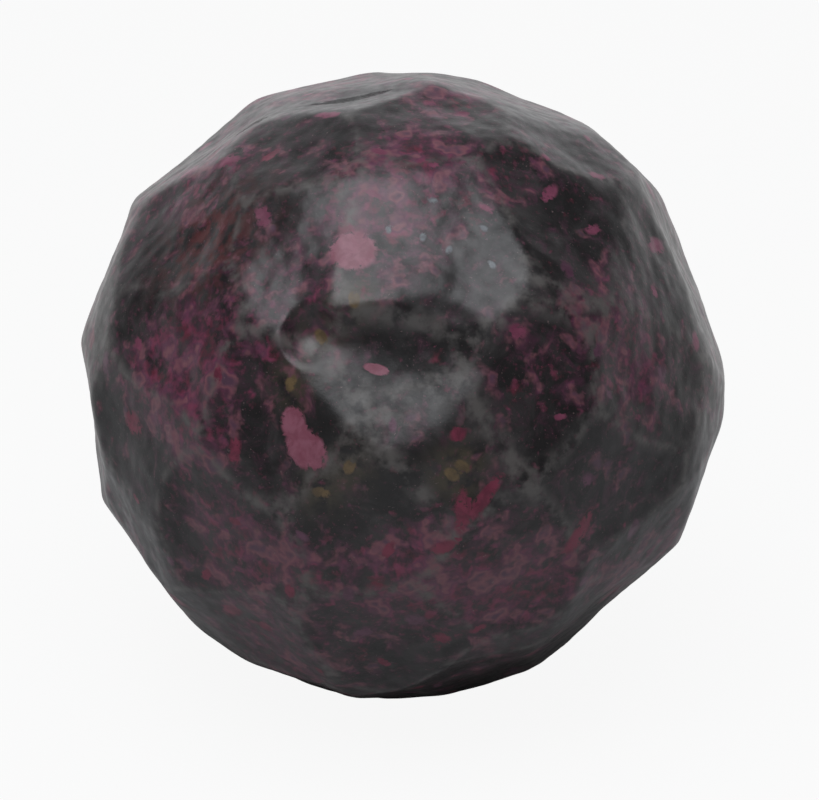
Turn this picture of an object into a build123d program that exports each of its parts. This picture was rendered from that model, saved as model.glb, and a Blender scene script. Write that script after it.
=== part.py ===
"""Cue ball: a dark cast ball with coloured chips set flush in it, hand finished in shallow flats.

The ball's centre is the origin and +Z is up. The ball stands on a ground flat at its underside.
A place on the ball is a clock angle and a tilt. The tilt is measured away from the face, the side
with the worn hollow, and the clock angle runs anticlockwise from +X as seen by someone facing it.
"""
from build123d import *
from math import acos, asin, cos, degrees, floor, pi, radians, sin, sqrt
import os

# ---- the ball, mm and degrees
ball_diameter = 57.15          # over the crests between the flats
face_elevation = 25.0          # how far the face looks up from level
rest_flat_width = 13.0         # across the flat that the ball stands on

# ---- flats dressed by formula on the side away from the face
far_flat_count = 62            # as if spread over the whole ball
far_flat_depth = 1.05          # shallowest far flat, below the crests
far_flat_depth_spread = 0.5
flat_spacing = 19.0            # least angle between a far flat and any other flat
rest_flat_clearance = 27.0     # least angle between a far flat and the rest flat

# ---- chips
chip_depth = 1.5               # from the ball's surface to the floor of a large chip's pocket
flake_depth = 1.1              # the same for a small flake
chip_raggedness = 0.34         # how far a chip's corners draw in
corner_count = 7
flake_count = 270              # even places for coloured flakes, over the whole ball
missing_share = 0.2            # share of the even places that hold no flake
flake_drift = 8.0              # degrees over which a flake strays from its even place
shortest_flake = 1.3
flake_length_spread = 2.4
flake_slenderness = 0.45       # least width of a flake over its length
flake_width_spread = 0.4       # how much more of its length a flake's width may be
grain_slenderness = 0.65       # width of an ochre or pale grain over its length
flake_clearance = 0.4          # least gap from a flake to any chip or slit that is set before it
proud = 3.0                    # how far a chip's blank stands above the surface before trimming
plain_hollow = 11.0            # angle around the hollow's middle that holds no flake
plain_underside = 15.0         # angle around the rest flat's middle that holds no flake

# ---- the clock angle that each colour of flake gathers towards, and how strongly it does
magenta_side = 70.0
crimson_side = 230.0
mauve_side = 310.0
gathering = 0.35

# ---- slit pits at the upper edge of the face
slit_width = 2.0
slit_rise = 0.3                # how far a slit's middle line stands above the surface, so its tips do

# Flats dressed by hand around the face: clock, tilt, depth below the crests.
face_flats = [
    # around the edge of the face
    (340, 86, 0.75), (23, 80, 1.6), (46, 86, 0.6), (71, 80, 1.85), (83, 84, 1.45),
    (101, 76, 2.0), (112, 77, 1.5), (125, 78, 1.75), (157, 86, 0.8), (187, 86, 1.3),
    (216, 86, 1.15), (235, 80, 0.9), (251, 85, 1.1), (273, 82, 1.15), (288, 80, 2.1),
    (308, 80, 2.3),
    # on the face itself
    (78, 29, 1.5), (131, 29, 1.15), (46, 46, 1.2), (23, 60, 1.3), (83, 56, 1.2),
    (115, 56, 1.1), (146, 54, 1.4), (170, 46, 1.2), (193, 57, 1.3), (219, 46, 1.3),
    (236, 66, 1.3), (256, 27, 1.2), (270, 50, 1.4), (299, 42, 1.4), (334, 46, 1.4),
    (352, 22, 1.1), (306, 17, 1.0), (3, 50, 1.3), (200, 24, 1.1), (322, 66, 1.2),
    (290, 66, 1.0), (205, 70, 1.0), (60, 66, 1.0),
]

# The worn hollow: a wide dish, cut off above by a steep wall, and small dents at its upper edge.
hollow_dish = (111, 5.5, 2.45, 25.0)       # clock, tilt, depth below the crests, dish radius
hollow_wall = (270, 39, 10.8)              # clock, tilt, depth below the crests
hollow_dents = [(150, 15, 2.3, 4.2), (56, 14, 0.9, 3.4)]

# Slit pits: clock, tilt, length, turn of the long way from +X.
slit_pits = [(100, 70, 8.0, 15), (120, 70, 5.0, 25)]

# Single chips: clock, tilt, length, width, turn of the long way from +X.
# The rose shard and the crimson vee are each one chip, an outline of lobes that run together.
pink_block = [(110, 25, 4.5, 4.0, -10)]
rose_shard = [(200, 20, 3.0, 2.5, 90), (215, 20, 4.5, 3.5, -40)]
hollow_crescent = [(150, 5, 2.5, 1.0, -15)]
crimson_bar = [(320, 45, 6.0, 2.0, 60)]
crimson_vee = [(295, 25, 5.0, 1.5, 90), (305, 25, 7.0, 1.5, 55), (285, 30, 3.0, 1.5, 20)]

# Fans of grains: how many, first clock, sweep, nearest tilt, tilt spread, length, seed.
ochre_fan = (7, 100.0, 240.0, 16.0, 8.0, 1.8, 3)
pale_fan = (7, 50.0, 55.0, 22.0, 18.0, 1.1, 8)

# ---- worked out from the sizes above
ball_radius = ball_diameter / 2
rest_flat_depth = ball_radius - sqrt(ball_radius**2 - (rest_flat_width / 2)**2)
golden_angle = 360 * (1 - 2 / (1 + sqrt(5)))
across_the_face = Vector(1, 0, 0)
up_the_face = Vector(0, sin(radians(face_elevation)), cos(radians(face_elevation)))
out_of_the_face = Vector(0, -cos(radians(face_elevation)), sin(radians(face_elevation)))
rest_flat_clock = 270.0
rest_flat_tilt = 90.0 + face_elevation
no_cut = 2 * ball_diameter     # a reach that stands for a shape that isn't met
colour_sides = (magenta_side, crimson_side, mauve_side)


def direction(clock, tilt):
    """Unit vector from the ball's centre to a place."""
    sideways = sin(radians(tilt))
    return (
        across_the_face * (sideways * cos(radians(clock)))
        + up_the_face * (sideways * sin(radians(clock)))
        + out_of_the_face * cos(radians(tilt))
    )


def angle_between(first, second):
    """Angle in degrees between two (clock, tilt) places."""
    return direction(*first[:2]).get_angle(direction(*second[:2]))


def scatter(seed, step):
    """A fixed number from 0 to 1 that looks random for each pair of numbers."""
    wave = sin(seed * 12.9898 + step * 78.233) * 43758.5453
    return wave - floor(wave)


def spiral_place(index, count):
    """Clock and tilt of one of count places spread evenly over the ball on a golden spiral."""
    tilt = degrees(acos(1 - (2 * index + 1) / count))
    return (index * golden_angle) % 360, tilt


def far_flats():
    """Flats on the far side, leaving room around the hand-dressed ones and the rest flat."""
    flats = []
    for index in range(far_flat_count):
        clock, tilt = spiral_place(index, far_flat_count)
        place = (clock, tilt)
        crowded = any(angle_between(place, flat) < flat_spacing for flat in face_flats)
        under = angle_between(place, (rest_flat_clock, rest_flat_tilt)) < rest_flat_clearance
        if not crowded and not under:
            depth = far_flat_depth + far_flat_depth_spread * scatter(index, 1)
            flats.append((clock, tilt, depth))
    return flats


all_flats = [(rest_flat_clock, rest_flat_tilt, rest_flat_depth)] + face_flats + far_flats()


def scoop_reach(out, scoop_clock, scoop_tilt, depth, scoop_radius):
    """Distance along a way out of the ball's centre to a scoop's ball, or no_cut if it misses."""
    centre = ball_radius - depth + scoop_radius
    slant = out.dot(direction(scoop_clock, scoop_tilt))
    inside = scoop_radius**2 - centre**2 * (1 - slant**2)
    if slant <= 0 or inside <= 0:
        return no_cut
    return centre * slant - sqrt(inside)


def surface_radius(clock, tilt):
    """Distance from the ball's centre to its finished surface at a place."""
    out = direction(clock, tilt)
    reach = ball_radius
    for flat_clock, flat_tilt, depth in all_flats:
        slant = out.dot(direction(flat_clock, flat_tilt))
        if slant > 0.5:
            reach = min(reach, (ball_radius - depth) / slant)
    wall_clock, wall_tilt, wall_depth = hollow_wall
    wall_slant = out.dot(direction(wall_clock, wall_tilt))
    if wall_slant > 0:
        wall_reach = (ball_radius - wall_depth) / wall_slant
        reach = min(reach, max(scoop_reach(out, *hollow_dish), wall_reach))
    for dent in hollow_dents:
        reach = min(reach, scoop_reach(out, *dent))
    return reach


def place_plane(clock, tilt, radius, turn=0.0):
    """Plane across a place at a radius, with its X way turned from +X and its Z way outward."""
    out = direction(clock, tilt)
    along = across_the_face * cos(radians(turn)) + up_the_face * sin(radians(turn))
    along = along - out * along.dot(out)
    return Plane(origin=out * radius, x_dir=along, z_dir=out)


def chip_corners(length, width, seed):
    """Corners of a ragged chip: an ellipse whose corners each draw in by their own amount."""
    corners = []
    for corner in range(corner_count):
        turn = 2 * pi * (corner + 0.4 * scatter(seed, corner)) / corner_count
        reach = 1.08 - chip_raggedness * scatter(seed, corner + 20)
        corners.append((length / 2 * reach * cos(turn), width / 2 * reach * sin(turn)))
    return corners


def strayed_place(index):
    """An even place on the ball, moved by a small amount of its own."""
    clock, tilt = spiral_place(index, flake_count)
    along = flake_drift * (scatter(index, 5) - 0.5)
    away = flake_drift * (scatter(index, 6) - 0.5)
    return clock + along / sin(radians(tilt)), tilt + away


def flake_colour(index, clock):
    """Number of the colour with the strongest pull: the nearness of its side, plus chance."""
    pulls = []
    for number, side in enumerate(colour_sides):
        pulls.append(gathering * cos(radians(clock - side)) + scatter(index, 10 + number))
    return pulls.index(max(pulls))


def fan_places(count, first_clock, sweep, nearest_tilt, tilt_spread, length, seed):
    """Grains strewn over a fan of the face, a step apart in clock and scattered in tilt."""
    places = []
    for number in range(count):
        clock = first_clock + sweep * (number + scatter(seed, number)) / count
        tilt = nearest_tilt + tilt_spread * scatter(seed, number + 20)
        turn = 180 * scatter(seed, number + 40)
        places.append((clock, tilt, length, length * grain_slenderness, turn))
    return places


def kept_flakes():
    """The colour and place of every flake that stays clear of whatever is set before it."""
    taken = slit_pits + pink_block + rose_shard + hollow_crescent + crimson_bar + crimson_vee
    taken = taken + fan_places(*ochre_fan) + fan_places(*pale_fan)
    kept = []
    for index in range(flake_count):
        clock, tilt = strayed_place(index)
        length = shortest_flake + flake_length_spread * scatter(index, 2)**2
        width = length * (flake_slenderness + flake_width_spread * scatter(index, 3))
        missing = scatter(index, 7) < missing_share
        worn = angle_between((clock, tilt), hollow_dish) < plain_hollow
        under = angle_between((clock, tilt), (rest_flat_clock, rest_flat_tilt)) < plain_underside
        crowded = any(
            radians(angle_between((clock, tilt), other)) * ball_radius
            < (length + other[2]) / 2 + flake_clearance
            for other in taken
        )
        if missing or worn or under or crowded:
            continue
        place = (clock, tilt, length, width, 180 * scatter(index, 4))
        taken.append(place)
        kept.append((flake_colour(index, clock), place))
    return kept


all_flakes = kept_flakes()


def flake_places(colour):
    """The places of one colour's flakes."""
    return [place for own_colour, place in all_flakes if own_colour == colour]


def chip_blank(places, depth, seed):
    """Standing blanks for chips at the places given, before they are trimmed to the ball."""
    with BuildPart() as blank:
        for number, (clock, tilt, length, width, turn) in enumerate(places):
            pocket_floor = surface_radius(clock, tilt) - depth
            with BuildSketch(place_plane(clock, tilt, pocket_floor, turn)):
                Polygon(*chip_corners(length, width, seed + number), align=None)
            extrude(amount=depth + proud)
    return blank.part


def trimmed_chips(blank, earlier):
    """Chips cut flush with the ball, kept clear of the chips that were set before them."""
    with BuildPart() as chips:
        add(shaped_ball.part)
        add(blank, mode=Mode.INTERSECT)
        for other in earlier:
            add(other, mode=Mode.SUBTRACT)
    return chips.part


def scoop_centre(scoop_clock, scoop_tilt, depth, scoop_radius):
    """Middle of a scoop's ball."""
    return direction(scoop_clock, scoop_tilt) * (ball_radius - depth + scoop_radius)


# ---- what the worn hollow takes away: the part of the dish's ball that lies outside the wall
with BuildPart() as hollow:
    with Locations(scoop_centre(*hollow_dish)):
        Sphere(hollow_dish[3])
    wall_clock, wall_tilt, wall_depth = hollow_wall
    split(bisect_by=place_plane(wall_clock, wall_tilt, ball_radius - wall_depth), keep=Keep.TOP)

# ---- the ball's outer shape, before any chip is set
with BuildPart() as shaped_ball:
    Sphere(ball_radius)
    for flat_clock, flat_tilt, flat_depth in all_flats:
        flat = place_plane(flat_clock, flat_tilt, ball_radius - flat_depth)
        split(bisect_by=flat, keep=Keep.BOTTOM)
    add(hollow.part, mode=Mode.SUBTRACT)
    for dent in hollow_dents:
        with Locations(scoop_centre(*dent)):
            Sphere(dent[3], mode=Mode.SUBTRACT)
    for pit_clock, pit_tilt, pit_length, pit_turn in slit_pits:
        pit_radius = surface_radius(pit_clock, pit_tilt) + slit_rise
        pit_plane = place_plane(pit_clock, pit_tilt, pit_radius, pit_turn)
        with BuildSketch(pit_plane) as pit_profile:
            with BuildLine():
                ThreePointArc((-pit_length / 2, 0), (0, slit_width / 2), (pit_length / 2, 0))
                Line((pit_length / 2, 0), (-pit_length / 2, 0))
            make_face()
        revolve(axis=Axis(pit_plane.origin, pit_plane.x_dir), mode=Mode.SUBTRACT)

# ---- the chips: node, places, depth of the pocket floor, seed
chip_sets = [
    ("pink_block_chip", pink_block, chip_depth, 11),
    ("rose_shard_chip", rose_shard, chip_depth, 23),
    ("hollow_crescent_chip", hollow_crescent, flake_depth, 37),
    ("crimson_bar_chip", crimson_bar, chip_depth, 41),
    ("crimson_vee_chip", crimson_vee, chip_depth, 59),
    ("magenta_flakes", flake_places(0), flake_depth, 100),
    ("crimson_flakes", flake_places(1), flake_depth, 300),
    ("mauve_flakes", flake_places(2), flake_depth, 500),
    ("ochre_flakes", fan_places(*ochre_fan), flake_depth, 700),
    ("pale_grains", fan_places(*pale_fan), flake_depth, 800),
]
blanks = {}
for chip_name, chip_places, chip_floor, chip_seed in chip_sets:
    blanks[chip_name] = chip_blank(chip_places, chip_floor, chip_seed)

# ---- the dark casting, its pockets all cut at once by blanks that stand clear of the surface
with BuildPart() as dark_casting:
    add(shaped_ball.part)
    standing = [solid for blank in blanks.values() for solid in blank.solids()]
    add(standing, mode=Mode.SUBTRACT)

# ---- the chips, each one trimmed flush and clear of the ones set before it
chips = {}
for number, (chip_name, blank) in enumerate(blanks.items()):
    chips[chip_name] = trimmed_chips(blank, list(blanks.values())[:number])

os.makedirs("parts", exist_ok=True)
dark_casting.part.label = "dark_casting"
export_step(dark_casting.part, "parts/dark_casting.step")
for chip_name, chip in chips.items():
    chip.label = chip_name
    export_step(chip, f"parts/{chip_name}.step")
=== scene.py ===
"""Finish of a dark cast cue ball: shallow dressed flats, a worn hollow, slit pits and flush chips.

Lengths in the ball's own tables are millimetres, as in the part's source, and a place on the ball is
a clock angle and a tilt away from the face. Meshes are in metres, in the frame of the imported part.
"""

import bpy
import numpy as np
from mathutils import Matrix, Vector


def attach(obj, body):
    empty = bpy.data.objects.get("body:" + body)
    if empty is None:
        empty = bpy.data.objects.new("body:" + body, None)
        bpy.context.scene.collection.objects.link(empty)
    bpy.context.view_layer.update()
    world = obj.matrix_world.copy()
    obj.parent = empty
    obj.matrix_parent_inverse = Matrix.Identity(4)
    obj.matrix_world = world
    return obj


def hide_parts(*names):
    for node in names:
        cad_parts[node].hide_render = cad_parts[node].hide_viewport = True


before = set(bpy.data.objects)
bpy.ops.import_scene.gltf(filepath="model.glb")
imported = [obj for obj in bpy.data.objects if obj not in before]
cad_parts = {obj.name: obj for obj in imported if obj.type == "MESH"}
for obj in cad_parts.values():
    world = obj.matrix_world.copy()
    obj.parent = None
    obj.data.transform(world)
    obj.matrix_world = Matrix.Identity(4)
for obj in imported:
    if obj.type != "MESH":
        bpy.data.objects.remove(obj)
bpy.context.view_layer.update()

MM = 0.001
BODY = "root"

# ---- the ball, as in the part's source
BALL_RADIUS = 57.15 / 2
FACE_ELEVATION = np.radians(25.0)
REST_FLAT_WIDTH = 13.0
REST_FLAT_PLACE = (270.0, 115.0)
REST_FLAT_DEPTH = BALL_RADIUS - np.sqrt(BALL_RADIUS**2 - (REST_FLAT_WIDTH / 2) ** 2)
FAR_FLAT_COUNT = 62
FAR_FLAT_DEPTH = 1.05
FAR_FLAT_DEPTH_SPREAD = 0.5
FLAT_SPACING = 19.0
REST_FLAT_CLEARANCE = 27.0
CHIP_DEPTH = 1.5
FLAKE_DEPTH = 1.1
FLAKE_COUNT = 270
MISSING_SHARE = 0.2
FLAKE_DRIFT = 8.0
SHORTEST_FLAKE = 1.3
FLAKE_LENGTH_SPREAD = 2.4
FLAKE_SLENDERNESS = 0.45
FLAKE_WIDTH_SPREAD = 0.4
GRAIN_SLENDERNESS = 0.65
FLAKE_CLEARANCE = 0.4
PLAIN_HOLLOW = 11.0
PLAIN_UNDERSIDE = 15.0
COLOUR_SIDES = (70.0, 230.0, 310.0)    # the clock angle that magenta, crimson and mauve gather towards
GATHERING = 0.35
SLIT_WIDTH = 2.0
SLIT_RISE = 0.3

# Flats dressed around the face, listed one by one: clock, tilt, depth below the crests.
FACE_FLATS = [
    # around the edge of the face
    (340, 86, 0.75), (23, 80, 1.6), (46, 86, 0.6), (71, 80, 1.85), (83, 84, 1.45),
    (101, 76, 2.0), (112, 77, 1.5), (125, 78, 1.75), (157, 86, 0.8), (187, 86, 1.3),
    (216, 86, 1.15), (235, 80, 0.9), (251, 85, 1.1), (273, 82, 1.15), (288, 80, 2.1),
    (308, 80, 2.3),
    # on the face itself
    (78, 29, 1.5), (131, 29, 1.15), (46, 46, 1.2), (23, 60, 1.3), (83, 56, 1.2),
    (115, 56, 1.1), (146, 54, 1.4), (170, 46, 1.2), (193, 57, 1.3), (219, 46, 1.3),
    (236, 66, 1.3), (256, 27, 1.2), (270, 50, 1.4), (299, 42, 1.4), (334, 46, 1.4),
    (352, 22, 1.1), (306, 17, 1.0), (3, 50, 1.3), (200, 24, 1.1), (322, 66, 1.2),
    (290, 66, 1.0), (205, 70, 1.0), (60, 66, 1.0),
]

# The worn hollow: a wide dish, cut off above by a steep wall, and small dents at its upper edge.
HOLLOW_DISH = (111, 5.5, 2.45, 25.0)       # clock, tilt, depth below the crests, dish radius
HOLLOW_WALL = (270, 39, 10.8)              # clock, tilt, depth below the crests
HOLLOW_DENTS = [(150, 15, 2.3, 4.2), (56, 14, 0.9, 3.4)]

# Slit pits: clock, tilt, length, turn of the long way from +X.
SLIT_PITS = [(100, 70, 8.0, 15), (120, 70, 5.0, 25)]

# Single chips: clock, tilt, length, width, turn of the long way from +X.
PINK_BLOCK = [(110, 25, 4.5, 4.0, -10)]
ROSE_SHARD = [(200, 20, 3.0, 2.5, 90), (215, 20, 4.5, 3.5, -40)]
HOLLOW_CRESCENT = [(150, 5, 2.5, 1.0, -15)]
CRIMSON_BAR = [(320, 45, 6.0, 2.0, 60)]
CRIMSON_VEE = [(295, 25, 5.0, 1.5, 90), (305, 25, 7.0, 1.5, 55), (285, 30, 3.0, 1.5, 20)]

# Fans of grains: how many, first clock, sweep, nearest tilt, tilt spread, length, seed.
OCHRE_FAN = (7, 100.0, 240.0, 16.0, 8.0, 1.8, 3)
PALE_FAN = (7, 50.0, 55.0, 22.0, 18.0, 1.1, 8)

# ---- surface relief, mm
GRID_STEPS = 112               # quads along each side of the six grids
RIDGE_SOFTNESS = 0.13          # how far a ridge between two flats is rounded down
FACE_SOFTNESS = 0.12           # how much further it is rounded in the handled middle of the face
HOLLOW_SOFTNESS = 0.50
RIPPLES = [                    # wavelength, height, sine waves, seed
    (11.0, 0.08, 40, 5),
    (4.2, 0.030, 60, 6),
    (1.5, 0.010, 80, 7),
]
WANDER = [(14.0, 0.022, 30, 21), (14.0, 0.022, 30, 22), (14.0, 0.022, 30, 23)]  # heights in radians
WALL_SOFTNESS = 0.60           # how far the foot of the hollow's wall is rounded
NO_CUT = 99.0                  # stands for a shape that a ray misses
REST_FADE = 0.03               # the cosine over which relief fades in beside the rest flat

ACROSS_THE_FACE = np.array([1.0, 0.0, 0.0])
UP_THE_FACE = np.array([0.0, np.sin(FACE_ELEVATION), np.cos(FACE_ELEVATION)])
OUT_OF_THE_FACE = np.array([0.0, -np.cos(FACE_ELEVATION), np.sin(FACE_ELEVATION)])
GOLDEN_ANGLE = 360 * (1 - 2 / (1 + np.sqrt(5)))


# ======== places on the ball ========

def direction(clock, tilt):
    """Unit vectors from the ball's centre to places, for numbers or arrays of numbers."""
    clock = np.radians(np.asarray(clock, float))[..., None]
    tilt = np.radians(np.asarray(tilt, float))[..., None]
    sideways = np.cos(clock) * ACROSS_THE_FACE + np.sin(clock) * UP_THE_FACE
    return np.sin(tilt) * sideways + np.cos(tilt) * OUT_OF_THE_FACE


def unit(vectors):
    """The vectors scaled to length one."""
    return vectors / np.linalg.norm(vectors, axis=-1, keepdims=True)


def scatter(seed, step):
    """A fixed number from 0 to 1 that looks random for each pair of numbers."""
    wave = np.sin(np.asarray(seed, float) * 12.9898 + step * 78.233) * 43758.5453
    return wave - np.floor(wave)


def spiral_places(count):
    """Clock and tilt of count places spread evenly over the ball on a golden spiral."""
    index = np.arange(count)
    tilt = np.degrees(np.arccos(1 - (2 * index + 1) / count))
    return index, (index * GOLDEN_ANGLE) % 360, tilt


def far_flats():
    """Flats on the far side, leaving room around the listed face flats and the rest flat."""
    index, clock, tilt = spiral_places(FAR_FLAT_COUNT)
    place = direction(clock, tilt)
    near = np.array(FACE_FLATS)
    nearest = (place @ direction(near[:, 0], near[:, 1]).T).max(1)
    under = place @ direction(*REST_FLAT_PLACE)
    free = (nearest <= np.cos(np.radians(FLAT_SPACING))) & (
        under <= np.cos(np.radians(REST_FLAT_CLEARANCE))
    )
    depth = FAR_FLAT_DEPTH + FAR_FLAT_DEPTH_SPREAD * scatter(index, 1)
    return [tuple(row) for row in np.stack([clock, tilt, depth], 1)[free]]


ALL_FLATS = np.array([(*REST_FLAT_PLACE, REST_FLAT_DEPTH)] + FACE_FLATS + far_flats())


def fan_places(count, first_clock, sweep, nearest_tilt, tilt_spread, length, seed):
    """Grains strewn over a fan of the face, a step apart in clock and scattered in tilt."""
    number = np.arange(count)
    clock = first_clock + sweep * (number + scatter(seed, number)) / count
    tilt = nearest_tilt + tilt_spread * scatter(seed, number + 20)
    turn = 180 * scatter(seed, number + 40)
    long_way = np.full(count, length)
    rows = np.stack([clock, tilt, long_way, long_way * GRAIN_SLENDERNESS, turn], 1)
    return [tuple(row) for row in rows]


def kept_flakes():
    """The colour and place of every flake: even places on a spiral, each moved by a small amount of
    its own, with a share left out and any that would touch what is set before it. A flake takes the
    colour with the strongest pull, which is the nearness of that colour's side plus chance."""
    index, clock, tilt = spiral_places(FLAKE_COUNT)
    clock = clock + FLAKE_DRIFT * (scatter(index, 5) - 0.5) / np.sin(np.radians(tilt))
    tilt = tilt + FLAKE_DRIFT * (scatter(index, 6) - 0.5)
    pulls = [
        GATHERING * np.cos(np.radians(clock - side)) + scatter(index, 10 + number)
        for number, side in enumerate(COLOUR_SIDES)
    ]
    colours = np.argmax(pulls, 0)
    free = scatter(index, 7) >= MISSING_SHARE
    out = direction(clock, tilt)
    for middle, plain in ((HOLLOW_DISH[:2], PLAIN_HOLLOW), (REST_FLAT_PLACE, PLAIN_UNDERSIDE)):
        free &= out @ direction(*middle) <= np.cos(np.radians(plain))
    length = SHORTEST_FLAKE + FLAKE_LENGTH_SPREAD * scatter(index, 2) ** 2
    width = length * (FLAKE_SLENDERNESS + FLAKE_WIDTH_SPREAD * scatter(index, 3))
    rows = np.stack([clock, tilt, length, width, 180 * scatter(index, 4)], 1)
    set_before = SLIT_PITS + PINK_BLOCK + ROSE_SHARD + HOLLOW_CRESCENT + CRIMSON_BAR + CRIMSON_VEE
    set_before = set_before + fan_places(*OCHRE_FAN) + fan_places(*PALE_FAN)
    taken = [place[:3] for place in set_before]
    kept = []
    for number in np.flatnonzero(free):
        other_clock, other_tilt, other_length = np.array(taken).T
        slant = direction(other_clock, other_tilt) @ out[number]
        apart = np.arccos(np.clip(slant, -1, 1)) * BALL_RADIUS
        if (apart < (length[number] + other_length) / 2 + FLAKE_CLEARANCE).any():
            continue
        taken.append(tuple(rows[number, :3]))
        kept.append((colours[number], tuple(rows[number])))
    return kept


ALL_FLAKES = kept_flakes()


def flake_places(colour):
    """The places of one colour's flakes."""
    return [place for own_colour, place in ALL_FLAKES if own_colour == colour]


# ======== the ball's surface ========

def near_place(out, clock, tilt, width):
    """1 at a place, falling off as a bell curve whose width is in degrees."""
    angle = np.degrees(np.arccos(np.clip(out @ direction(clock, tilt), -1, 1)))
    return np.exp(-((angle / width) ** 2))


def rounded_lowest(heights, softness):
    """The lowest of the heights along the last axis, rounded down where two of them meet:
    the lowest less softness times the log of the sum of exp(-(height - lowest) / softness)."""
    lowest = heights.min(-1)
    softness = np.broadcast_to(softness, lowest.shape)
    spread = np.exp(-(heights - lowest[..., None]) / softness[..., None]).sum(-1)
    return lowest - softness * np.log(spread)


def ripple(places, wavelength, height, waves, seed):
    """Sum of plane sine waves with random directions and phases, all near one wavelength, scaled
    so that its root mean square is the height."""
    random = np.random.default_rng(seed)
    heading = unit(random.normal(size=(waves, 3)))
    pace = 2 * np.pi / (wavelength * random.uniform(0.75, 1.35, waves))
    phase = random.uniform(0, 2 * np.pi, waves)
    total = np.zeros(places.shape[:-1])
    for way, speed, start in zip(heading, pace, phase):
        total += np.sin(places @ (way * speed) + start)
    return total * height * np.sqrt(2 / waves)


def off_the_rest_flat(out):
    """0 on the rest flat, rising to 1 a little way outside it."""
    under = out @ direction(*REST_FLAT_PLACE)
    rest_edge = np.cos(np.arcsin(REST_FLAT_WIDTH / 2 / BALL_RADIUS))
    return np.clip((rest_edge - under) / REST_FADE, 0, 1)


def wandered(out):
    """Places pushed a little sideways by slow waves, so that the edges between shapes wander as
    hand-dressed ones do. Nothing is pushed on the rest flat."""
    push = np.stack([ripple(out * BALL_RADIUS, *settings) for settings in WANDER], -1)
    return unit(out + push * off_the_rest_flat(out)[..., None])


def dressed_radius(out):
    """Distance from the centre to the flats and the crests: the lowest of the sphere and, for each
    flat, its distance divided by the cosine of the slant, rounded where they meet."""
    slant = out @ direction(ALL_FLATS[:, 0], ALL_FLATS[:, 1]).T
    flats = np.where(slant > 0.5, (BALL_RADIUS - ALL_FLATS[:, 2]) / np.maximum(slant, 0.5), NO_CUT)
    heights = np.concatenate([flats, np.full(out.shape[:-1] + (1,), BALL_RADIUS)], -1)
    softness = RIDGE_SOFTNESS + FACE_SOFTNESS * near_place(out, 0, 0, 50)
    return rounded_lowest(heights, softness), heights.min(-1)


def scoop_radius_along(out, clock, tilt, depth, scoop_radius):
    """Where rays from the centre enter a scoop's ball, and NO_CUT where they miss it."""
    centre = BALL_RADIUS - depth + scoop_radius
    slant = out @ direction(clock, tilt)
    inside = scoop_radius**2 - centre**2 * (1 - slant**2)
    hit = centre * slant - np.sqrt(np.maximum(inside, 0))
    return np.where((inside > 0) & (slant > 0), hit, NO_CUT)


def surface_radius(out):
    """Distance from the centre to the finished surface: the dressed flats, lowered by the hollow and
    its dents, plus the ripples. The hollow is the higher of its dish and its wall, rounded too."""
    relief = sum(ripple(out * BALL_RADIUS, *settings) for settings in RIPPLES)
    relief = relief * off_the_rest_flat(out)
    out = wandered(out)
    radius = dressed_radius(out)[0]
    dish = scoop_radius_along(out, *HOLLOW_DISH)
    wall_slant = np.maximum(out @ direction(*HOLLOW_WALL[:2]), 0.1)
    wall = np.minimum((BALL_RADIUS - HOLLOW_WALL[2]) / wall_slant, NO_CUT)
    hollow = -rounded_lowest(-np.stack([dish, wall], -1), WALL_SOFTNESS)
    radius = rounded_lowest(np.stack([radius, hollow], -1), HOLLOW_SOFTNESS)
    for dent in HOLLOW_DENTS:
        dent_radius = scoop_radius_along(out, *dent)
        radius = rounded_lowest(np.stack([radius, dent_radius], -1), HOLLOW_SOFTNESS)
    return radius + relief


def surface_normal(out):
    """Outward normals of the finished surface, from the surface a small step away on four sides."""
    step = 0.1 / BALL_RADIUS
    upright = np.where(np.abs(out[:, 2:]) < 0.8, [[0.0, 0.0, 1.0]], [[1.0, 0.0, 0.0]])
    first = unit(np.cross(upright, out))
    second = np.cross(out, first)
    sides = []
    for way in (first, second):
        ahead = unit(out + step * way)
        behind = unit(out - step * way)
        sides.append(ahead * surface_radius(ahead)[:, None] - behind * surface_radius(behind)[:, None])
    return unit(np.cross(*sides))


# ======== meshes ========

def mesh_object(name, points, faces):
    """A new object from points in millimetres and faces of one length, linked to the scene."""
    mesh = bpy.data.meshes.new(name)
    mesh.from_pydata((points * MM).tolist(), [], faces.tolist())
    mesh.update()
    piece = bpy.data.objects.new(name, mesh)
    bpy.context.scene.collection.objects.link(piece)
    return piece


def shaped_ball(name):
    """The whole ball before any chip is set: a cube's six faces, each a grid of two angles whose
    tangents are its sides' coordinates, pushed out to the surface radius."""
    angles = np.tan(np.linspace(-np.pi / 4, np.pi / 4, GRID_STEPS + 1))
    across, along = np.meshgrid(angles, angles, indexing="ij")
    points = []
    for axis in range(3):
        for sign in (1.0, -1.0):
            out = np.eye(3)[axis] * sign
            first = np.eye(3)[(axis + 1) % 3]
            second = np.cross(out, first)
            points.append(out + across[..., None] * first + along[..., None] * second)
    points = unit(np.array(points))
    number = np.arange(points[..., 0].size).reshape(points.shape[:3])
    quads = np.stack(
        [number[:, :-1, :-1], number[:, 1:, :-1], number[:, 1:, 1:], number[:, :-1, 1:]], -1
    ).reshape(-1, 4)
    flat_points = points.reshape(-1, 3)
    _, first_seen, merged = np.unique(
        np.round(flat_points, 6), axis=0, return_index=True, return_inverse=True
    )
    out = flat_points[first_seen]
    return mesh_object(name, out * surface_radius(out)[:, None], merged.reshape(-1)[quads])


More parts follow.
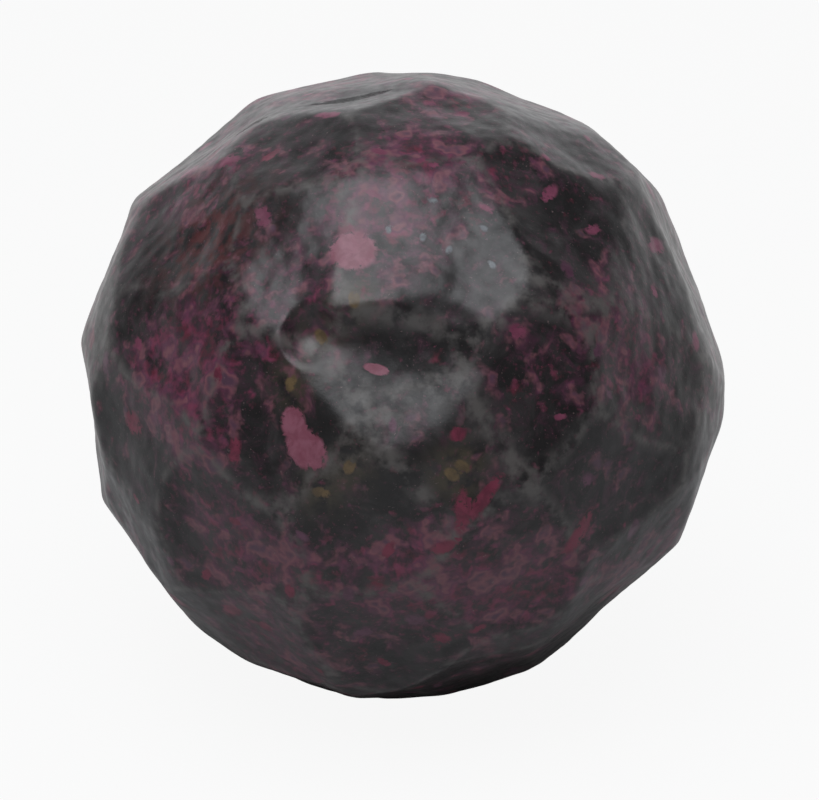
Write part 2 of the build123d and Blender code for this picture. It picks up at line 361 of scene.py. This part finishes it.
def local_frame(clock, tilt, turn):
    """Outward, along and across ways at places, with the along way turned from +X."""
    out = direction(clock, tilt)
    turn = np.radians(np.asarray(turn, float))[..., None]
    along = np.cos(turn) * ACROSS_THE_FACE + np.sin(turn) * UP_THE_FACE
    along = unit(along - out * (along * out).sum(-1, keepdims=True))
    return out, along, np.cross(out, along)


def outline_reach(angle, seed, raggedness):
    """How far a chip's outline stands off its ellipse at an angle: one plus a few sines of the
    angle, whose sizes fall with their number and whose phases come from the seed."""
    reach = np.ones(np.broadcast(angle, seed).shape)
    for lobe in range(2, 12):
        size = raggedness * (0.4 + scatter(seed, lobe)) / lobe**0.75
        reach = reach + size * np.sin(lobe * angle + 2 * np.pi * scatter(seed, lobe + 30))
    return np.clip(reach, 0.45, 1.5)


def chip_blanks(name, places, depth, seed, squareness, raggedness, corners):
    """Standing prisms for chips: each outline is a superellipse of the chip's length and width
    times its ragged reach, carried out along the place's direction from below the surface."""
    clock, tilt, length, width, turn = np.array(places, float).T
    out, along, across = local_frame(clock, tilt, turn)
    angle = np.linspace(0, 2 * np.pi, corners, endpoint=False)[None, :]
    power = 2 / squareness
    reach = outline_reach(angle, (seed + np.arange(len(clock)))[:, None], raggedness)
    sideways = np.sign(np.cos(angle)) * np.abs(np.cos(angle)) ** power * reach
    upward = np.sign(np.sin(angle)) * np.abs(np.sin(angle)) ** power * reach
    ring = (
        (length / 2)[:, None, None] * sideways[..., None] * along[:, None]
        + (width / 2)[:, None, None] * upward[..., None] * across[:, None]
    )
    floor = surface_radius(out) - depth
    low = out * floor[:, None]
    high = out * (floor + depth + 2.5)[:, None]
    points = np.concatenate(
        [low[:, None] + ring, high[:, None] + ring, low[:, None], high[:, None]], 1
    )
    here = np.arange(corners)
    after = (here + 1) % corners
    base, lid = np.full(corners, 2 * corners), np.full(corners, 2 * corners + 1)
    triangles = np.concatenate([
        np.stack([here, after, after + corners], 1),
        np.stack([here, after + corners, here + corners], 1),
        np.stack([base, after, here], 1),
        np.stack([lid, here + corners, after + corners], 1),
    ])
    offsets = np.arange(len(clock))[:, None, None] * (2 * corners + 2)
    return mesh_object(name, points.reshape(-1, 3), (triangles[None] + offsets).reshape(-1, 3))


def slit_blank(name, clock, tilt, length, turn):
    """A lens-shaped cutter: a circle arc over the slit's length, turned about its chord, so its
    half width at a share t of the half length is the arc's height there."""
    rings, corners = 28, 16
    half_length, half_width = length / 2, SLIT_WIDTH / 2
    arc_radius = (half_length**2 + half_width**2) / (2 * half_width)
    share = np.sin(np.linspace(-np.pi / 2, np.pi / 2, rings + 2))[1:-1]
    drop = arc_radius - np.sqrt(arc_radius**2 - (share * half_length) ** 2)
    half = half_width - drop
    out, along, across = local_frame(clock, tilt, turn)
    angle = np.linspace(0, 2 * np.pi, corners, endpoint=False)
    circle = np.cos(angle)[:, None] * across + np.sin(angle)[:, None] * out
    middle = out * (surface_radius(out[None])[0] + SLIT_RISE)
    rim = middle + (share * half_length)[:, None, None] * along + half[:, None, None] * circle
    ends = middle + np.array([[-half_length], [half_length]]) * along
    points = np.concatenate([rim.reshape(-1, 3), ends])
    here = np.arange(corners)
    after = (here + 1) % corners
    step = (np.arange(rings - 1) * corners)[:, None]
    first = np.stack([step + here, step + here + corners, step + after + corners], -1)
    second = np.stack([step + here, step + after + corners, step + after], -1)
    start, finish = np.full(corners, rings * corners), np.full(corners, rings * corners + 1)
    last = (rings - 1) * corners
    triangles = np.concatenate([
        first.reshape(-1, 3), second.reshape(-1, 3),
        np.stack([start, here, after], 1), np.stack([finish, last + after, last + here], 1),
    ])
    return mesh_object(name, points, triangles)


def combine(piece, tool, operation):
    """Cuts the piece by the tool, or keeps what they share, and writes the result into it."""
    modifier = piece.modifiers.new("combine", "BOOLEAN")
    modifier.operation = operation
    modifier.solver = "MANIFOLD"
    modifier.object = tool
    graph = bpy.context.evaluated_depsgraph_get()
    result = bpy.data.meshes.new_from_object(piece.evaluated_get(graph))
    piece.modifiers.remove(modifier)
    old = piece.data
    piece.data = result
    result.name = piece.name
    bpy.data.meshes.remove(old)


def apart_groups(places):
    """The places in groups, where no two in a group come near enough for their outlines to meet."""
    groups = []
    for place in places:
        middle = direction(place[0], place[1]) * BALL_RADIUS
        for group in groups:
            others = np.array(group)
            apart = np.linalg.norm(direction(others[:, 0], others[:, 1]) * BALL_RADIUS - middle, axis=1)
            if (apart > 0.75 * (others[:, 2] + place[2])).all():
                group.append(place)
                break
        else:
            groups.append([place])
    return groups


def joined_blanks(name, places, depth, seed, squareness, raggedness, corners):
    """Blanks for all the places of a set, with neighbours that meet run together."""
    whole = None
    for number, group in enumerate(apart_groups(places)):
        part = chip_blanks(name, group, depth, seed + 1000 * number, squareness, raggedness, corners)
        if whole is None:
            whole = part
        else:
            combine(whole, part, "UNION")
            discard(part)
    return whole


def discard(piece):
    """Removes a cutter or blank that has done its work."""
    mesh = piece.data
    bpy.data.objects.remove(piece)
    bpy.data.meshes.remove(mesh)


def vertex_array(mesh):
    """The mesh's points in millimetres."""
    points = np.empty(len(mesh.vertices) * 3)
    mesh.vertices.foreach_get("co", points)
    return points.reshape(-1, 3) / MM


def smooth_outside(piece):
    """Gives the finished surface its true normals, and leaves pocket walls and floors flat."""
    mesh = piece.data
    points = vertex_array(mesh)
    out = unit(points)
    outside = np.abs(np.linalg.norm(points, axis=1) - surface_radius(out)) < 0.06
    loop_vertex = np.empty(len(mesh.loops), int)
    mesh.loops.foreach_get("vertex_index", loop_vertex)
    starts = np.empty(len(mesh.polygons), int)
    totals = np.empty(len(mesh.polygons), int)
    mesh.polygons.foreach_get("loop_start", starts)
    mesh.polygons.foreach_get("loop_total", totals)
    face_normals = np.empty(len(mesh.polygons) * 3)
    mesh.polygons.foreach_get("normal", face_normals)
    face_normals = face_normals.reshape(-1, 3)
    face_of_loop = np.repeat(np.arange(len(totals)), totals)
    whole = np.minimum.reduceat(outside[loop_vertex].astype(int), starts) == 1
    facing = (face_normals * out[loop_vertex[starts]]).sum(1) > 0.5
    smooth = (whole & facing)[face_of_loop]
    normals = face_normals[face_of_loop]
    normals[smooth] = surface_normal(out)[loop_vertex[smooth]]
    mesh.polygons.foreach_set("use_smooth", np.ones(len(totals), bool))
    mesh.normals_split_custom_set(normals)


def write_share(mesh, name, values):
    """Stores one number from 0 to 1 for each point, for the finish to read."""
    attribute = mesh.attributes.new(name, "FLOAT", "POINT")
    attribute.data.foreach_set("value", np.clip(values, 0, 1).astype(np.float32))


# ======== finishes ========

def put(tree, kind, inputs=None, **settings):
    """Adds a shader node, sets its settings, and sets or links the inputs given by name."""
    node = tree.nodes.new(kind)
    for name, value in settings.items():
        setattr(node, name, value)
    for key, value in (inputs or {}).items():
        if isinstance(value, bpy.types.NodeSocket):
            tree.links.new(value, node.inputs[key])
        else:
            node.inputs[key].default_value = value
    return node


def sums(tree, operation, first, second=0.0, third=0.0):
    """One step of arithmetic on numbers or sockets."""
    node = put(tree, "ShaderNodeMath", {0: first, 1: second, 2: third}, operation=operation)
    return node.outputs[0]


def rising(tree, value, low, high):
    """0 below low, 1 above high, and a smooth rise between them."""
    node = put(
        tree, "ShaderNodeMapRange",
        {"Value": value, "From Min": low, "From Max": high, "To Min": 0.0, "To Max": 1.0},
        interpolation_type="SMOOTHSTEP",
    )
    return node.outputs[0]


def blend(tree, share, first, second):
    """A mix of two colours."""
    node = put(tree, "ShaderNodeMix", data_type="RGBA", clamp_factor=True)
    for socket, value in ((node.inputs[0], share), (node.inputs[6], first), (node.inputs[7], second)):
        if isinstance(value, bpy.types.NodeSocket):
            tree.links.new(value, socket)
        elif hasattr(value, "__len__"):
            socket.default_value = (*value, 1.0)
        else:
            socket.default_value = value
    return node.outputs[2]


def cloud(tree, where, per_mm, detail=3.0, roughness=0.55, distortion=0.0):
    """Soft noise with so many lumps per millimetre."""
    node = put(
        tree, "ShaderNodeTexNoise",
        {"Vector": where, "Scale": per_mm, "Detail": detail, "Roughness": roughness,
         "Distortion": distortion},
    )
    return node.outputs["Fac"]


def millimetres(tree, shift=(0.0, 0.0, 0.0)):
    """The piece's own coordinates in millimetres, moved by a shift."""
    coordinates = put(tree, "ShaderNodeTexCoord").outputs["Object"]
    node = put(
        tree, "ShaderNodeMapping", {"Vector": coordinates, "Scale": (1 / MM,) * 3, "Location": shift}
    )
    return node.outputs["Vector"]


def smears(tree, where, per_mm, level, spread, crowd):
    """Ragged smears: swirled noise that stands above a level, and more of it where it is crowded."""
    lumps = cloud(tree, where, per_mm, 3.0, 0.55, 0.25)
    lifted = sums(tree, "MULTIPLY_ADD", crowd, CROWDING, lumps)
    return rising(tree, lifted, level, level + spread)


def tone_ramp(tree, tone, stops):
    """A colour for each tone from 0 to 1, running smoothly from one to the next."""
    ramp = put(tree, "ShaderNodeValToRGB", {0: tone})
    while len(ramp.color_ramp.elements) < len(stops):
        ramp.color_ramp.elements.new(0.5)
    for element, (position, colour) in zip(ramp.color_ramp.elements, stops):
        element.position = position
        element.color = (*colour, 1.0)
    return ramp.outputs[0]


def stored(tree, name):
    """A share that was stored on the mesh for its finish."""
    return put(tree, "ShaderNodeAttribute", attribute_name=name).outputs["Fac"]


def fine_bump(tree, where, heights):
    """Surface grain finer than the mesh: noise at each density, raised by its height in mm."""
    total = 0.0
    for per_mm, height in heights:
        total = sums(tree, "MULTIPLY_ADD", cloud(tree, where, per_mm, 2.0), height, total)
    node = put(tree, "ShaderNodeBump", {"Strength": 1.0, "Distance": MM, "Height": total})
    return node.outputs[0]


def finish(name, paint, roughness_low, roughness_high):
    """A smoothed, semi-gloss finish whose colour comes from the paint function. Roughness moves
    between its two limits with soft noise, and is higher in the hollow, where no hand polishes."""
    material = bpy.data.materials.new(name)
    material.use_nodes = True
    tree = material.node_tree
    tree.nodes.clear()
    where = millimetres(tree)
    smear = cloud(tree, where, 0.9, 4.0, 0.6)
    rough = put(
        tree, "ShaderNodeMapRange",
        {"Value": smear, "From Min": 0.3, "From Max": 0.7, "To Min": roughness_low,
         "To Max": roughness_high},
    ).outputs[0]
    rough = sums(tree, "MULTIPLY_ADD", stored(tree, "hollow"), HOLLOW_ROUGHNESS, rough)
    normal = fine_bump(tree, where, [(2.6, 0.012), (8.0, 0.003)])
    shader = put(
        tree, "ShaderNodeBsdfPrincipled",
        {"Base Color": paint(tree, where), "Roughness": rough, "Normal": normal, "IOR": 1.5},
    )
    put(tree, "ShaderNodeOutputMaterial", {"Surface": shader.outputs[0]})
    return material


HOLLOW_ROUGHNESS = 0.06
DARK = (0.0072, 0.0060, 0.0066)
SMOKE = (0.034, 0.030, 0.031)
PLUM = (0.050, 0.0165, 0.032)
OLIVE = (0.046, 0.037, 0.024)
RED_WASH = (0.075, 0.010, 0.012)
# Pale ridge colour: partly real wear, partly a painted highlight along the ridges.
WEAR_AND_HIGHLIGHT_PALE = (0.10, 0.092, 0.088)
# Painted shade for the pits and slits below the surface.
PAINTED_PIT_SHADE = (0.003, 0.003, 0.003)
WEAR_AND_HIGHLIGHT_STRENGTH = 0.85           # how far a ridge takes on the pale colour of wear and painted highlight
DUST_STRENGTH = 0.7
OUTLINE = 1.04                 # the reach at which an unfrayed chip's colour would end
COLOUR_LIMIT = 1.02            # the reach past which no chip's colour goes
CROWDING = 0.15                # how much a crowded place lifts the noise that smears are cut from
SMEAR_TONES = [
    (0.34, (0.13, 0.016, 0.036)),
    (0.46, (0.19, 0.035, 0.078)),
    (0.54, (0.11, 0.030, 0.066)),
    (0.62, (0.20, 0.070, 0.090)),
    (0.72, (0.08, 0.034, 0.062)),
]
SMEAR_LAYERS = [               # lumps per millimetre, level, spread, strength
    (1.50, 0.600, 0.20, 0.45),
    (0.80, 0.610, 0.22, 0.85),
    (0.45, 0.590, 0.16, 0.80),
]
DUST_TONES = [
    (0.36, (0.16, 0.030, 0.060)),
    (0.50, (0.07, 0.035, 0.055)),
    (0.62, (0.16, 0.110, 0.110)),
]


def casting_paint(tree, where):
    """Near-black composition: smoky lumps, plum and olive haze, a red wash, ragged smears in three
    sizes, dust, pale wear and a painted highlight on the ridges, and painted shade in the pits."""
    crowd = stored(tree, "crowd")
    smoke = sums(tree, "MULTIPLY_ADD", crowd, 0.10, cloud(tree, where, 0.22, 5.0, 0.62, 0.6))
    colour = blend(tree, rising(tree, smoke, 0.44, 0.72), DARK, SMOKE)
    haze = cloud(tree, where, 0.45, 5.0, 0.68, 0.9)
    haze = sums(tree, "MULTIPLY_ADD", crowd, 0.16, haze)
    colour = blend(tree, rising(tree, haze, 0.50, 0.76), colour, PLUM)
    olive = sums(tree, "MULTIPLY", stored(tree, "olive"), rising(tree, cloud(tree, where, 0.7), 0.3, 0.6))
    colour = blend(tree, olive, colour, OLIVE)
    wash = sums(tree, "MULTIPLY", stored(tree, "red_wash"), rising(tree, cloud(tree, where, 0.9), 0.38, 0.62))
    colour = blend(tree, wash, colour, RED_WASH)
    tone = tone_ramp(tree, cloud(tree, where, 0.45, 2.0), SMEAR_TONES)
    for per_mm, level, spread, strength in SMEAR_LAYERS:
        mask = smears(tree, where, per_mm, level, spread, crowd)
        colour = blend(tree, sums(tree, "MULTIPLY", mask, strength), colour, tone)
    dust = rising(tree, cloud(tree, where, 4.5, 2.0, 0.5), 0.66, 0.74)
    colour = blend(tree, sums(tree, "MULTIPLY", dust, DUST_STRENGTH), colour,
                   tone_ramp(tree, cloud(tree, where, 1.3, 1.0), DUST_TONES))
    # Ridges turn pale: partly wear, partly a painted highlight along them.
    wear_and_highlight = rising(tree, cloud(tree, where, 0.7, 3.0), 0.36, 0.66)
    wear_and_highlight = sums(tree, "MULTIPLY", stored(tree, "ridge"), wear_and_highlight)
    colour = blend(tree, sums(tree, "MULTIPLY", wear_and_highlight, WEAR_AND_HIGHLIGHT_STRENGTH), colour, WEAR_AND_HIGHLIGHT_PALE)
    # Painted shade: points below the finished surface, in the slits and pits, go dark.
    return blend(tree, stored(tree, "pit"), colour, PAINTED_PIT_SHADE)


def chip_paint(light, deep, fraying, fade):
    """A chip's colour: cloudy between a light and a deep tone, fading raggedly into the colour of the
    composition around it. How far in a point lies is one less its stored reach."""
    def paint(tree, where):
        lumps = rising(tree, cloud(tree, where, 0.8, 4.0, 0.6, 0.5), 0.36, 0.66)
        colour = blend(tree, lumps, light, deep)
        shares = put(tree, "ShaderNodeAttribute", attribute_name="chip_shares").outputs["Vector"]
        reach = put(tree, "ShaderNodeVectorMath", {0: shares}, operation="LENGTH").outputs["Value"]
        ragged = sums(tree, "MULTIPLY", cloud(tree, where, 1.5, 4.0, 0.65, 0.4), fraying)
        inner = sums(tree, "SUBTRACT", sums(tree, "ADD", ragged, OUTLINE - fraying / 2), reach)
        inner = sums(tree, "MINIMUM", inner, sums(tree, "SUBTRACT", COLOUR_LIMIT, reach))
        inside = rising(tree, inner, 0.0, fade)
        return blend(tree, inside, casting_paint(tree, where), colour)
    return paint


# ======== build ========

# Patches of the casting: clock, tilt, width in degrees.
CROWDED = [
    (180, 50, 14), (170, 40, 9), (230, 45, 12), (270, 35, 14), (300, 50, 10), (350, 20, 9),
    (0, 50, 9), (90, 45, 10), (80, 65, 9), (290, 25, 12), (100, 30, 9), (340, 50, 8),
]
EMPTY = [
    (46, 46, 9), (44, 37, 7), (36, 52, 8), (345, 39, 10), (310, 24, 10), (335, 30, 9), (195, 50, 8),
    (135, 47, 8), (75, 54, 6), (98, 54, 6), (246, 20, 9), (303, 60, 8), (15, 62, 12), (345, 66, 9),
    (200, 64, 9), (150, 58, 8), (0, 0, 12), (330, 12, 9), (275, 62, 9),
]
OLIVE_WIDTH = 4.0
OLIVE_PATCHES = [(clock, tilt, OLIVE_WIDTH) for clock, tilt, *_ in fan_places(*OCHRE_FAN)]
RED_PATCH = (143, 47, 11)
HOLLOW_PATCH = (110, 2, 15)
CROWD_MEAN = 0.35
CROWD_SPREAD = 0.22
CROWDED_WEIGHT = 0.55
EMPTY_WEIGHT = -0.6
CROWD_DRIFT = (18.0, 1.0, 30, 33)

# name, places, floor depth, seed, squareness, raggedness, corners, record slot
CHIP_SETS = [
    ("pink_block_chip", PINK_BLOCK, CHIP_DEPTH, 11, 3.2, 0.05, 96, "rose_chip"),
    ("rose_shard_chip", ROSE_SHARD, CHIP_DEPTH, 23, 2.4, 0.08, 80, "rose_chip"),
    ("hollow_crescent_chip", HOLLOW_CRESCENT, FLAKE_DEPTH, 37, 2.0, 0.12, 48, "rose_chip"),
    ("crimson_bar_chip", CRIMSON_BAR, CHIP_DEPTH, 41, 2.6, 0.12, 64, "crimson_chip"),
    ("crimson_vee_chip", CRIMSON_VEE, CHIP_DEPTH, 59, 2.2, 0.13, 56, "crimson_chip"),
    ("magenta_flakes", flake_places(0), FLAKE_DEPTH, 100, 2.0, 0.30, 30, "magenta_chip"),
    ("crimson_flakes", flake_places(1), FLAKE_DEPTH, 300, 2.0, 0.30, 30, "crimson_chip"),
    ("mauve_flakes", flake_places(2), FLAKE_DEPTH, 500, 2.0, 0.30, 30, "mauve_chip"),
    ("ochre_flakes", fan_places(*OCHRE_FAN), FLAKE_DEPTH, 700, 2.0, 0.18, 30, "ochre_chip"),
    ("pale_grains", fan_places(*PALE_FAN), FLAKE_DEPTH, 800, 2.0, 0.16, 24, "pale_grain"),
]

# A chip's light and deep tone, how far noise moves the outline of its
# colour, and over how much its colour fades in, both in half lengths.
FINISHES = {
    "rose_chip": ((0.25, 0.085, 0.125), (0.19, 0.050, 0.080), 1.6, 0.25),
    "crimson_chip": ((0.17, 0.024, 0.052), (0.10, 0.014, 0.032), 3.0, 0.50),
    "magenta_chip": ((0.19, 0.045, 0.088), (0.13, 0.026, 0.058), 3.0, 0.50),
    "mauve_chip": ((0.11, 0.042, 0.075), (0.06, 0.020, 0.040), 3.2, 0.60),
    "ochre_chip": ((0.13, 0.085, 0.038), (0.075, 0.05, 0.025), 2.6, 0.40),
    "pale_grain": ((0.16, 0.18, 0.195), (0.09, 0.095, 0.11), 2.6, 0.60),
}


def write_chip_shares(piece, places):
    """Stores how far along and across its chip each point lies: 0 at the middle, 1 at the outline.
    The shares are distances from the nearest chip's place over its half length and half width."""
    clock, tilt, length, width, turn = np.array(places, float).T
    out, along, across = local_frame(clock, tilt, turn)
    points = vertex_array(piece.data)
    middle = out * surface_radius(out)[:, None]
    apart = points[:, None] - middle[None]
    share_long = np.einsum("ijk,jk->ij", apart, along) / (length / 2)
    share_wide = np.einsum("ijk,jk->ij", apart, across) / (width / 2)
    nearest = (share_long**2 + share_wide**2).argmin(1)[:, None]
    shares = np.zeros((len(points), 3), np.float32)
    shares[:, 0] = np.take_along_axis(share_long, nearest, 1)[:, 0]
    shares[:, 1] = np.take_along_axis(share_wide, nearest, 1)[:, 0]
    attribute = piece.data.attributes.new("chip_shares", "FLOAT_VECTOR", "POINT")
    attribute.data.foreach_set("vector", shares.ravel())


casting = shaped_ball("dark_casting_finish")
for pit_number, pit in enumerate(SLIT_PITS):
    cutter = slit_blank(f"slit_{pit_number}", *pit)
    combine(casting, cutter, "DIFFERENCE")
    discard(cutter)

whole_ball = casting.copy()
whole_ball.data = casting.data.copy()
bpy.context.scene.collection.objects.link(whole_ball)

chip_pieces = []
blanks = []
for chip_name, places, depth, seed, squareness, raggedness, corners, slot_name in CHIP_SETS:
    blank = joined_blanks(chip_name + "_blank", places, depth, seed, squareness, raggedness, corners)
    piece = blank.copy()
    piece.name = chip_name + "_finish"
    piece.data = blank.data.copy()
    bpy.context.scene.collection.objects.link(piece)
    combine(piece, whole_ball, "INTERSECT")
    for earlier in blanks:
        combine(piece, earlier, "DIFFERENCE")
    combine(casting, blank, "DIFFERENCE")
    blanks.append(blank)
    chip_pieces.append((piece, chip_name, places, slot_name))
for spent in blanks + [whole_ball]:
    discard(spent)

def write_casting_shares(piece):
    """Stores what the composition's colour reads at each point: how crowded it is with smears, how
    olive and how red, how near a ridge, for its wear and painted highlight, how deep in a pit, for its
    painted shade, and how far inside the hollow."""
    mesh = piece.data
    points = vertex_array(mesh)
    out = unit(points)
    crowd = CROWD_MEAN + CROWD_SPREAD * ripple(out * BALL_RADIUS, *CROWD_DRIFT)
    for places, weight in ((CROWDED, CROWDED_WEIGHT), (EMPTY, EMPTY_WEIGHT)):
        crowd += weight * sum(near_place(out, *place) for place in places)
    rounded, sharp = dressed_radius(wandered(out))
    below = surface_radius(out) - np.linalg.norm(points, axis=1)
    write_share(mesh, "crowd", crowd)
    write_share(mesh, "olive", sum(near_place(out, *place) for place in OLIVE_PATCHES))
    write_share(mesh, "red_wash", near_place(out, *RED_PATCH))
    # Ridge share: where ridges take pale wear and a painted highlight.
    write_share(mesh, "ridge", (sharp - rounded) / (RIDGE_SOFTNESS * 0.7) - 0.3)
    # Pit share: where shade is painted below the surface.
    write_share(mesh, "pit", (below - 0.06) / 0.25)
    write_share(mesh, "hollow", 1.3 * near_place(out, *HOLLOW_PATCH))


def finished(piece, node, slot_name, material):
    """Dresses a piece, hides the CAD node it stands for and hangs it on the body. The slot name is not used.
    """
    smooth_outside(piece)
    write_casting_shares(piece)
    piece.data.materials.clear()
    piece.data.materials.append(material)
    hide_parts(node)
    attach(piece, BODY)


materials = {
    slot_name: finish(slot_name + "_finish", chip_paint(*tones), 0.30, 0.44)
    for slot_name, tones in FINISHES.items()
}
for piece, chip_name, places, slot_name in chip_pieces:
    finished(piece, chip_name, slot_name, materials[slot_name])
    write_chip_shares(piece, places)
finished(casting, "dark_casting", "dark_casting", finish("dark_casting_finish", casting_paint, 0.28, 0.42))


# ======== floor, light and camera ========

ROOM_DIM = 0.14
ROOM_BRIGHT = 1.1
ROOM_TURN = (0.1, 0.85)        # cosines to straight behind, where the room starts and ends brightening
FLOOR_WHITE = 0.92             # share of the floor that is plain white to the camera
MIRRORED_WHITE = 0.8
SWEEP = (-0.01, 0.09)            # metres behind the ball, over which the floor turns white in reflections


def floor_finish():
    """Pale floor that is white to the camera but still takes the ball's shadow. The ball mirrors it
    as white behind, where it sweeps up into the backdrop."""
    material = bpy.data.materials.new("pale_floor")
    material.use_nodes = True
    tree = material.node_tree
    tree.nodes.clear()
    matte = put(tree, "ShaderNodeBsdfDiffuse", {"Color": (0.6, 0.6, 0.6, 1.0)})
    white = put(tree, "ShaderNodeEmission", {"Color": (1.0, 1.0, 1.0, 1.0), "Strength": 1.0})
    ray = put(tree, "ShaderNodeLightPath").outputs
    where = put(tree, "ShaderNodeTexCoord").outputs["Object"]
    backward = put(tree, "ShaderNodeSeparateXYZ", {0: where}).outputs["Y"]
    mirrored = sums(tree, "MULTIPLY", ray["Is Glossy Ray"], rising(tree, backward, *SWEEP))
    share = sums(tree, "MULTIPLY", ray["Is Camera Ray"], FLOOR_WHITE)
    share = sums(tree, "MULTIPLY_ADD", mirrored, MIRRORED_WHITE, share)
    mixed = put(tree, "ShaderNodeMixShader", {0: share, 1: matte.outputs[0], 2: white.outputs[0]})
    put(tree, "ShaderNodeOutputMaterial", {"Surface": mixed.outputs[0]})
    return material


def pale_floor():
    """A level square of floor under the ball."""
    half = 1500.0
    level = -np.sqrt(BALL_RADIUS**2 - (REST_FLAT_WIDTH / 2) ** 2)
    corners = np.array([[-half, -half, level], [half, -half, level], [half, half, level],
                        [-half, half, level]])
    floor = mesh_object("floor", corners, np.array([[0, 1, 2, 3]]))
    floor.data.materials.append(floor_finish())


def studio_world():
    """A room that is dim on the viewer's side and rises to a white backdrop behind the ball. It is
    white wherever the camera looks straight at it."""
    world = bpy.data.worlds.new("studio")
    bpy.context.scene.world = world
    world.use_nodes = True
    tree = world.node_tree
    tree.nodes.clear()
    heading = put(tree, "ShaderNodeTexCoord").outputs["Generated"]
    behind = put(
        tree, "ShaderNodeVectorMath", {0: heading, 1: tuple(-OUT_OF_THE_FACE)}, operation="DOT_PRODUCT"
    ).outputs["Value"]
    level = put(
        tree, "ShaderNodeMapRange",
        {"Value": behind, "From Min": ROOM_TURN[0], "From Max": ROOM_TURN[1], "To Min": ROOM_DIM,
         "To Max": ROOM_BRIGHT},
        interpolation_type="SMOOTHSTEP",
    ).outputs[0]
    room = put(tree, "ShaderNodeBackground", {"Color": (0.97, 0.98, 1.0, 1.0), "Strength": level})
    white = put(tree, "ShaderNodeBackground", {"Color": (1.0, 1.0, 1.0, 1.0), "Strength": 1.0})
    seen = put(tree, "ShaderNodeLightPath").outputs["Is Camera Ray"]
    mixed = put(tree, "ShaderNodeMixShader", {0: seen, 1: room.outputs[0], 2: white.outputs[0]})
    put(tree, "ShaderNodeOutputWorld", {"Surface": mixed.outputs[0]})


def soft_lamp(name, place, size, radiance, colour):
    """A square lamp aimed at the ball, with the same brightness all over its face."""
    lamp = bpy.data.lights.new(name, "AREA")
    lamp.shape = "SQUARE"
    lamp.size = size
    lamp.energy = radiance * np.pi * size**2
    lamp.color = colour
    holder = bpy.data.objects.new(name, lamp)
    holder.location = place
    holder.rotation_euler = (-Vector(place)).to_track_quat("-Z", "Y").to_euler()
    bpy.context.scene.collection.objects.link(holder)


def face_camera():
    """A long lens that looks at the ball along the face's own direction."""
    distance = 361.0
    view_width = 72.54
    lens = bpy.data.cameras.new("camera")
    lens.sensor_width = 36.0
    lens.lens = lens.sensor_width * distance / view_width
    lens.clip_start = 0.01
    lens.clip_end = 20.0
    lens.shift_x = 0.0104
    lens.shift_y = -0.0204
    camera = bpy.data.objects.new("camera", lens)
    turned = np.stack([ACROSS_THE_FACE, UP_THE_FACE, OUT_OF_THE_FACE], 1)
    place = OUT_OF_THE_FACE * distance * MM
    camera.matrix_world = Matrix.Translation(Vector(place)) @ Matrix(turned.tolist()).to_4x4()
    bpy.context.scene.collection.objects.link(camera)
    bpy.context.scene.camera = camera


pale_floor()
studio_world()
soft_lamp("overhead", (-0.05, -0.16, 0.47), 0.46, 3.4, (0.94, 0.965, 1.0))
face_camera()
bpy.context.scene.view_settings.view_transform = "Standard"
